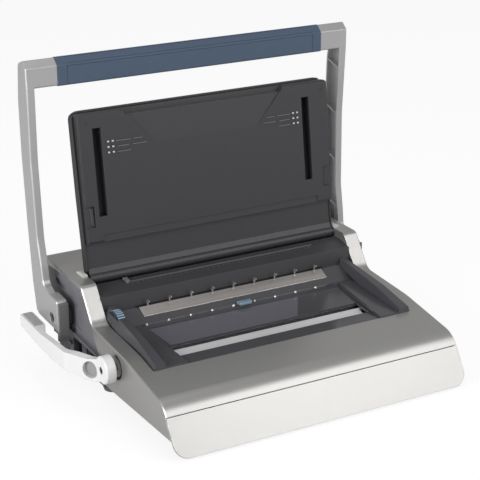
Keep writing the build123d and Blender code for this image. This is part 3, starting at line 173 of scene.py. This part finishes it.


# Each look's sRGB colour, its roughness and what differs from a plain moulded finish
# edge is how much lighter the painted highlight on rounded edges makes the colour
LOOKS = {
    "housing_silver": ("b1b0ae", 0.32, dict(metallic=0.75, mottle=0.02, grain=0.05,
                                            grain_scale=2500.0, edge=1.6, edge_radius=0.0008)),
    "cover_black": ("2b2b2d", 0.4, dict(mottle=0.05, grain=0.2, edge=2.5)),
    "side_grey": ("706f75", 0.45, dict(mottle=0.06, grain=0.2, edge=1.6)),
    "base_black": ("535356", 0.5, dict(grain=0.3, edge=1.6)),
    "foot_rubber": ("5c5c5c", 0.75, dict(mottle=0.1, grain=0.4)),
    "deck_dark": ("4b4b4f", 0.16, dict(mottle=0.05, grain=0.03, edge_radius=0)),
    "throat_dark": ("3f3e41", 0.4, dict(mottle=0.05, grain=0.2, edge=1.8)),
    "panel_dark": ("37373a", 0.42, dict(mottle=0.05, grain=0.2, edge=2.0)),
    # track_black colours the painted shade and painted shadow strips made below
    "track_black": ("0c0c0d", 0.6, dict(mottle=0.1, grain=0.2)),
    "plate_grey": ("66656d", 0.14, dict(mottle=0.03, grain=0.02, edge_radius=0)),
    # disc_grey colours the painted shade disc in the lever's thumb dish
    "disc_grey": ("97979a", 0.5, dict(mottle=0.04, grain=0.2, edge=1.1)),
    "button_blue": ("7f97ab", 0.45, dict(mottle=0.05, grain=0.2, edge=1.5)),
    "bar_steel": ("e4e2e3", 0.38, dict(metallic=0.5, mottle=0.05, brush=ALONG_X, edge=2.0,
                                       edge_radius=0.0018)),
    "bead_steel": ("f0f0f0", 0.25, dict(metallic=0.5, mottle=0.03, edge_radius=0.0002)),
    "mark_grey": ("77777a", 0.5, dict(mottle=0.05, edge=1.1, edge_radius=0.0001)),
    "mark_light": ("c8c8c8", 0.5, dict(mottle=0.05, edge=1.1, edge_radius=0.0001)),
    "frame_steel": ("8b8c8e", 0.35, dict(metallic=0.9, brush=ALONG_Y, grain=0.15)),
    "bright_steel": ("d0d0d0", 0.2, dict(metallic=1.0, brush=ALONG_X, edge=1.2)),
    "hook_steel": ("a8a4a1", 0.3, dict(metallic=0.8, mottle=0.2, brush=ALONG_X, grain=0.25,
                                       edge=2.4)),
    "tool_steel": ("7d7f83", 0.3, dict(metallic=0.9, brush=ALONG_X, grain=0.2)),
    "bush_brass": ("b08d4a", 0.3, dict(metallic=1.0)),
    "arm_silver": ("b4b4b4", 0.32, dict(metallic=0.45, mottle=0.02, grain=0.06, edge=1.5,
                                        edge_radius=0.001)),
    "grip_blue": ("46586d", 0.5, dict(mottle=0.05, grain=0.3, grain_scale=1400.0,
                                      edge_radius=0.001)),
    "buffer_grey": ("6f6f6f", 0.6, dict(mottle=0.06, grain=0.3)),
    "hub_grey": ("47474a", 0.5, dict(mottle=0.06, grain=0.2)),
    "lever_white": ("e6e6e6", 0.32, dict(mottle=0.01, grain=0.04, edge=1.08,
                                         edge_radius=0.0012)),
    "pad_grey": ("b0b0b2", 0.6, dict(mottle=0.1, grain=0.8, grain_scale=700.0)),
    "cap_light": ("c2c2bf", 0.4, dict(mottle=0.03)),
    "screw_black": ("2f2f2f", 0.4, dict(metallic=0.6, mottle=0.05)),
    "tray_grey": ("4d4d4f", 0.45, dict(mottle=0.05, grain=0.2)),
}

# Parts whose look differs from that of their record slot
OWN_LOOKS = {"wire_hooks": "hook_steel", "fixed_jaw": "tool_steel", "closer_bar": "bar_steel",
             "slider_button": "button_blue"}

# The size wheel's axle (y, z) and the radii where a rib's colour begins and is full
WHEEL_AXLE = (0.0235, 0.0933)
WHEEL_RIB = (0.0190, 0.0198)


def wheel_finish():
    """Dark wheel whose ribs are pale blue, told apart by their distance from the axle."""
    shader = Shader("wheel_blue")
    place = shader.add("ShaderNodeTexCoord")
    apart = shader.add("ShaderNodeVectorMath", operation="SUBTRACT")
    shader.join(place.outputs["Object"], apart.inputs[0])
    apart.inputs[1].default_value = MIDDLE + Vector((0.0, *WHEEL_AXLE))
    across = shader.add("ShaderNodeVectorMath", operation="MULTIPLY")
    shader.join(apart.outputs["Vector"], across.inputs[0])
    across.inputs[1].default_value = (0.0, 1.0, 1.0)
    radius = shader.add("ShaderNodeVectorMath", operation="LENGTH")
    shader.join(across.outputs["Vector"], radius.inputs[0])
    rib = shader.ramp(radius.outputs["Value"], 0.0, 1.0, *WHEEL_RIB)
    cloud = shader.noise(WHEEL_CLOUD_SCALE)
    body = shader.blend(cloud, linear("2b3036"), linear("333940"))
    shader.join(shader.blend(rib, body, linear("8fa6bb")), shader.surface.inputs["Base Color"])
    shader.surface.inputs["Roughness"].default_value = 0.4
    return shader.material


finishes = {name: finish(name, code, roughness, **rest)
            for name, (code, roughness, rest) in LOOKS.items()}
finishes["wheel_blue"] = wheel_finish()


def dress_nodes():
    """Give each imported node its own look, or else the finish of its slot."""
    for row in frame["record"]["subparts"]:
        name = row["node"]
        slots = nodes[name].data.materials
        slots.clear()
        slots.append(finishes[OWN_LOOKS.get(name, row["material_slot"])])


# Mesh helpers

def mesh_piece(name, solids, look, body):
    """Closed mesh solids, each given as corners and faces, that ride on a body."""
    corners = []
    faces = []
    for points, sides in solids:
        first = len(corners)
        corners += [tuple(MIDDLE + Vector(p)) for p in points]
        faces += [tuple(first + i for i in side) for side in sides]
    mesh = bpy.data.meshes.new(name)
    mesh.from_pydata(corners, [], faces)
    mesh.materials.append(finishes[look])
    piece = bpy.data.objects.new(name, mesh)
    bpy.context.scene.collection.objects.link(piece)
    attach(piece, body)


def slab(outline, lift):
    """Corners and faces of a thin plate over an outline of points, raised by a vector."""
    count = len(outline)
    corners = [Vector(p) for p in outline]
    corners += [Vector(p) + Vector(lift) for p in outline]
    sides = [tuple(reversed(range(count))), tuple(range(count, 2 * count))]
    sides += [(i, (i + 1) % count, count + (i + 1) % count, count + i) for i in range(count)]
    return corners, sides


def turned(profile, centre, axis, count):
    """Corners and faces of a solid turned round an axis, from rings of radius and height."""
    axis = Vector(axis).normalized()
    side = axis.orthogonal().normalized()
    other = axis.cross(side)
    corners = []
    for radius, height in profile:
        for i in range(count):
            angle = 2 * pi * i / count
            spoke = side * cos(angle) + other * sin(angle)
            corners.append(Vector(centre) + axis * height + spoke * radius)
    last = (len(profile) - 1) * count
    sides = [tuple(reversed(range(count))), tuple(range(last, last + count))]
    for low in range(0, last, count):
        high = low + count
        sides += [(low + i, low + (i + 1) % count, high + (i + 1) % count, high + i)
                  for i in range(count)]
    return corners, sides


# Deck and throat

# The deck's top between the wire channel and the step, at its front and rear (y, z)
DECK_FRONT = (-0.048, 0.0795)
DECK_REAR = (0.006, 0.0846)

PLATE_CORNERS = ((-0.1455, -0.0475), (0.0534, -0.0475), (0.0856, 0.003), (-0.152, 0.003))
PLATE_THICKNESS = 0.0004


def make_deck_plate():
    """Bare plate that lies on the deck."""
    slope = (DECK_REAR[1] - DECK_FRONT[1]) / (DECK_REAR[0] - DECK_FRONT[0])
    outline = [(x, y, DECK_FRONT[1] + slope * (y - DECK_FRONT[0])) for x, y in PLATE_CORNERS]
    mesh_piece("deck_plate", [slab(outline, (0, 0, PLATE_THICKNESS))], "plate_grey",
               "chassis")


HOLE_PITCH = 0.0254 / 3
HOLE_COUNT = 34
HOOK_PITCH = 4 * HOLE_PITCH

BEAD_COUNT = 9
BEAD_FOOT = (0.0088, 0.0891)      # y, z
BEAD_PROFILE = ((0.0016, 0.0), (0.0016, 0.0012), (0.0013, 0.0020), (0.0009, 0.0025))


def make_catch_beads():
    """Bright round heads on the catch strip's studs, one for each hook."""
    beads = []
    for i in range(BEAD_COUNT):
        foot = ((i - BEAD_COUNT / 2) * HOOK_PITCH, *BEAD_FOOT)
        beads.append(turned(BEAD_PROFILE, foot, (0, 0, 1), 12))
    mesh_piece("catch_beads", beads, "bead_steel", "catch")


# Painted shadow: a black strip stands for the dark line at the foot of the throat
SHADOW_LINE_HALF_LENGTH = 0.152
SHADOW_LINE_LOW = (0.04437, 0.1031)      # y, z
SHADOW_LINE_HIGH = (0.0446, 0.105)
SHADOW_LINE_THICKNESS = 0.0005


def make_throat_shadow_line():
    """Black strip along the foot of the throat, behind the hooks, painted as the shadow line
    there.
    """
    outline = [(-SHADOW_LINE_HALF_LENGTH, *SHADOW_LINE_LOW), (SHADOW_LINE_HALF_LENGTH, *SHADOW_LINE_LOW),
               (SHADOW_LINE_HALF_LENGTH, *SHADOW_LINE_HIGH), (-SHADOW_LINE_HALF_LENGTH, *SHADOW_LINE_HIGH)]
    mesh_piece("throat_painted_shadow", [slab(outline, (0, -SHADOW_LINE_THICKNESS, 0))], "track_black",
               "chassis")


# The slot's front lip rises to the back from this line (y, z)
LIP_FRONT = (0.047, 0.125)
LIP_SLOPE = 0.2

TICK_HALF_WIDTH = 0.0003
TICK_FRONT = 0.0655
TICK_REAR = 0.0685
TICK_THICKNESS = 0.0002


def make_throat_ticks():
    """Fine raised ticks along the slot's front lip, one on each side of every hole."""
    ticks = []
    for i in range(HOLE_COUNT + 1):
        x = (i - HOLE_COUNT / 2) * HOLE_PITCH
        left = x - TICK_HALF_WIDTH
        right = x + TICK_HALF_WIDTH
        corners = ((left, TICK_FRONT), (right, TICK_FRONT), (right, TICK_REAR), (left, TICK_REAR))
        outline = [(x, y, LIP_FRONT[1] + (y - LIP_FRONT[0]) * LIP_SLOPE) for x, y in corners]
        ticks.append(slab(outline, (0, 0, TICK_THICKNESS)))
    mesh_piece("throat_ticks", ticks, "mark_grey", "chassis")


# Lever

# The middle of the thumb dish's floor and the way it faces
DISH_CENTRE = (-0.2449, -0.0160, 0.0565)
DISH_FACING = (-0.8387, -0.5446, 0.0)
DISH_SHADE_PROFILE = ((0.0118, -0.0002), (0.0118, 0.0003), (0.0104, 0.0006))


# Painted shade: a darker grey disc stands for the shading inside the thumb dish
def make_dish_shade():
    """Grey disc on the floor of the lever's thumb dish, painted shade in the white dish."""
    disc = turned(DISH_SHADE_PROFILE, DISH_CENTRE, DISH_FACING, 32)
    mesh_piece("dish_painted_shade", [disc], "disc_grey", "lever")


# The curved recess round the lever's axle (y, z): its floor's place across, its radii and
# its arc in degrees
LEVER_AXLE = (-0.044, 0.064)
RECESS_X = -0.2229
RECESS_OUTER = 0.0172
RECESS_INNER = 0.0133
RECESS_START = 82
RECESS_SWEEP = 196
RECESS_STEPS = 24
RECESS_SHADE_THICKNESS = 0.0003


# Painted shade: a black sheet laid in the curved recess round the lever's axle
def make_recess_shade():
    """Black sheet on the floor of the curved recess round the lever's axle, painted shade."""
    rims = []
    for radius in (RECESS_OUTER, RECESS_INNER):
        rim = []
        for i in range(RECESS_STEPS + 1):
            angle = radians(RECESS_START + i * RECESS_SWEEP / RECESS_STEPS)
            rim.append((RECESS_X, LEVER_AXLE[0] + radius * cos(angle),
                        LEVER_AXLE[1] + radius * sin(angle)))
        rims.append(rim)
    outer, inner = rims
    arc = slab(outer + inner[::-1], (-RECESS_SHADE_THICKNESS, 0, 0))
    mesh_piece("lever_recess_painted_shade", [arc], "track_black", "chassis")


# Cover

# The cover's panel leans back with the paper
HINGE = Vector((0.0, 0.093, 0.137))
LEAN = radians(8.8)
BACKWARD = Vector((0.0, cos(LEAN), -sin(LEAN)))
UPWARD = Vector((0.0, sin(LEAN), cos(LEAN)))

# How far the panel's face and the floors of its tall slots lie in front of the hinge
PANEL_DEPTH = 0.018
SLOT_FLOOR_DEPTH = 0.0025


def panel_strip(x0, x1, low, high, depth, thickness):
    """A thin strip on a plane of the cover, between two places across and two heights."""
    left, right = sorted((x0, x1))
    outline = []
    for x, height in ((left, low), (right, low), (right, high), (left, high)):
        outline.append(HINGE + Vector((x, 0, 0)) + UPWARD * height - BACKWARD * depth)
    return slab(outline, -BACKWARD * thickness)


# Each side's marks run inwards from a start: the rows' heights, the dashes of each row
# and the dots of every row
MARK_STARTS = ((-1, 0.158), (1, 0.146))
MARK_ROWS = (0.1865, 0.179, 0.1715)
MARK_DASHES = (((0.013, 0.035), (0.040, 0.053)), ((0.015, 0.032), (0.038, 0.059)),
               ((0.014, 0.034),))
MARK_DOTS = ((0.0, 0.003), (0.007, 0.010))
DASH_HEIGHT = 0.0008
DOT_HEIGHT = 0.0022
MARK_THICKNESS = 0.0003


def size_mark(side, start, reach, low, height):
    """One raised mark on the panel's face, between two distances inwards from the start."""
    near, far = reach
    return panel_strip(side * (start - near), side * (start - far), low, low + height,
                       PANEL_DEPTH, MARK_THICKNESS)


def make_size_marks():
    """Raised lines and dots on both sides of the cover that show where sheets end."""
    lines = []
    dots = []
    for side, start in MARK_STARTS:
        for low, dashes in zip(MARK_ROWS, MARK_DASHES):
            lines += [size_mark(side, start, dash, low, DASH_HEIGHT) for dash in dashes]
            dots += [size_mark(side, start, dot, low, DOT_HEIGHT) for dot in MARK_DOTS]
    mesh_piece("size_lines", lines, "mark_grey", "cover")
    mesh_piece("size_dots", dots, "mark_light", "cover")


# Painted shade: black strips on the floors of the two tall slots
SLOT_SHADE_PLACES = ((-0.1774, -0.1656), (0.1538, 0.1656))
SLOT_SHADE_LOW = 0.0864
SLOT_SHADE_HIGH = 0.2076
SLOT_SHADE_THICKNESS = 0.0005


def make_slot_shade():
    """Black strips on the floors of the two tall slots, painted shade for their dark depths."""
    shade_strips = []
    for x0, x1 in SLOT_SHADE_PLACES:
        shade_strips.append(panel_strip(x0, x1, SLOT_SHADE_LOW, SLOT_SHADE_HIGH, SLOT_FLOOR_DEPTH, SLOT_SHADE_THICKNESS))
    mesh_piece("slot_painted_shade", shade_strips, "track_black", "cover")


# Floor, light and camera

WHITE = (1.0, 1.0, 1.0, 1.0)
FLOOR_REACH = 6.0
FLOOR_LEVEL = -0.0002             # just under the feet
FLOOR_GLOW = 1.1
FLOOR_GLOW_SHARE = 0.78           # the rest is the lit floor with its shadow


def make_floor():
    """Pale floor that the camera sees near white, with a soft shadow."""
    corners = [(x, y, FLOOR_LEVEL) for x, y in ((-FLOOR_REACH, -FLOOR_REACH),
                                                (FLOOR_REACH, -FLOOR_REACH),
                                                (FLOOR_REACH, FLOOR_REACH),
                                                (-FLOOR_REACH, FLOOR_REACH))]
    mesh = bpy.data.meshes.new("floor")
    mesh.from_pydata(corners, [], [(0, 1, 2, 3)])
    floor = bpy.data.objects.new("floor", mesh)
    bpy.context.scene.collection.objects.link(floor)
    shader = Shader("floor")
    shader.surface.inputs["Base Color"].default_value = (0.8, 0.8, 0.8, 1.0)
    shader.surface.inputs["Roughness"].default_value = 0.9
    glow = shader.add("ShaderNodeEmission")
    glow.inputs["Color"].default_value = WHITE
    glow.inputs["Strength"].default_value = FLOOR_GLOW
    rays = shader.add("ShaderNodeLightPath")
    share = shader.ramp(rays.outputs["Is Camera Ray"], 0.0, FLOOR_GLOW_SHARE)
    mixed = shader.add("ShaderNodeMixShader")
    shader.join(share, mixed.inputs["Fac"])
    shader.join(shader.surface.outputs["BSDF"], mixed.inputs[1])
    shader.join(glow.outputs["Emission"], mixed.inputs[2])
    shader.join(mixed.outputs["Shader"], shader.output.inputs["Surface"])
    mesh.materials.append(shader.material)


SURROUNDINGS = 0.42               # what lights the machine
BACKDROP = 1.0                    # what the camera sees


def make_world():
    """Soft grey surroundings, seen as white by the camera."""
    world = bpy.data.worlds.new("studio")
    bpy.context.scene.world = world
    world.use_nodes = True
    tree = world.node_tree
    tree.nodes.clear()
    out = tree.nodes.new("ShaderNodeOutputWorld")
    rays = tree.nodes.new("ShaderNodeLightPath")
    mixed = tree.nodes.new("ShaderNodeMixShader")
    tree.links.new(rays.outputs["Is Camera Ray"], mixed.inputs["Fac"])
    for socket, strength in ((1, SURROUNDINGS), (2, BACKDROP)):
        light = tree.nodes.new("ShaderNodeBackground")
        light.inputs["Color"].default_value = WHITE
        light.inputs["Strength"].default_value = strength
        tree.links.new(light.outputs["Background"], mixed.inputs[socket])
    tree.links.new(mixed.outputs["Shader"], out.inputs["Surface"])


# Each lamp's name, place, target, width and watts
LAMPS = (("front", (1.05, -1.65, 1.3), (0.0, -0.1, 0.1), 1.5, 17.0),
         ("left", (-2.3, -0.5, 0.7), (0.0, 0.0, 0.2), 1.3, 35.0),
         ("top", (0.0, 0.3, 2.5), (0.0, 0.0, 0.1), 1.0, 5.0))


def make_light(name, place, target, width, watts):
    """A square soft light that faces a point."""
    lamp = bpy.data.lights.new(name, "AREA")
    lamp.shape = "SQUARE"
    lamp.size = width
    lamp.energy = watts
    light = bpy.data.objects.new(name, lamp)
    light.location = place
    light.rotation_euler = (Vector(target) - Vector(place)).to_track_quat("-Z", "Y").to_euler()
    bpy.context.scene.collection.objects.link(light)


CAMERA_PLACE = (-0.96832, -1.68726, 0.88046)
CAMERA_PITCH = 19.497             # degrees down
CAMERA_YAW = 29.632               # degrees from +Y towards +X
CAMERA_ROLL = -0.3726             # degrees
FOCAL_PIXELS = 1508.9
IMAGE_PIXELS = 480
SENSOR_MILLIMETRES = 36.0


def make_camera():
    """A camera at the photograph's viewpoint."""
    data = bpy.data.cameras.new("camera")
    data.sensor_width = SENSOR_MILLIMETRES
    data.lens = FOCAL_PIXELS / IMAGE_PIXELS * data.sensor_width
    pitch, yaw, roll = radians(CAMERA_PITCH), radians(CAMERA_YAW), radians(CAMERA_ROLL)
    ahead = Vector((sin(yaw) * cos(pitch), cos(yaw) * cos(pitch), -sin(pitch)))
    level = Vector((cos(yaw), -sin(yaw), 0.0))
    above = level.cross(ahead)
    right = level * cos(roll) + above * sin(roll)
    up = above * cos(roll) - level * sin(roll)
    turn = Matrix((right, up, -ahead)).transposed()
    camera = bpy.data.objects.new("camera", data)
    camera.matrix_world = Matrix.Translation(CAMERA_PLACE) @ turn.to_4x4()
    bpy.context.scene.collection.objects.link(camera)
    bpy.context.scene.camera = camera


dress_nodes()
make_deck_plate()
make_size_marks()
make_slot_shade()
make_catch_beads()
make_throat_shadow_line()
make_throat_ticks()
make_dish_shade()
make_recess_shade()
make_floor()
make_world()
for lamp in LAMPS:
    make_light(*lamp)
make_camera()

bpy.context.scene.view_settings.view_transform = "Standard"
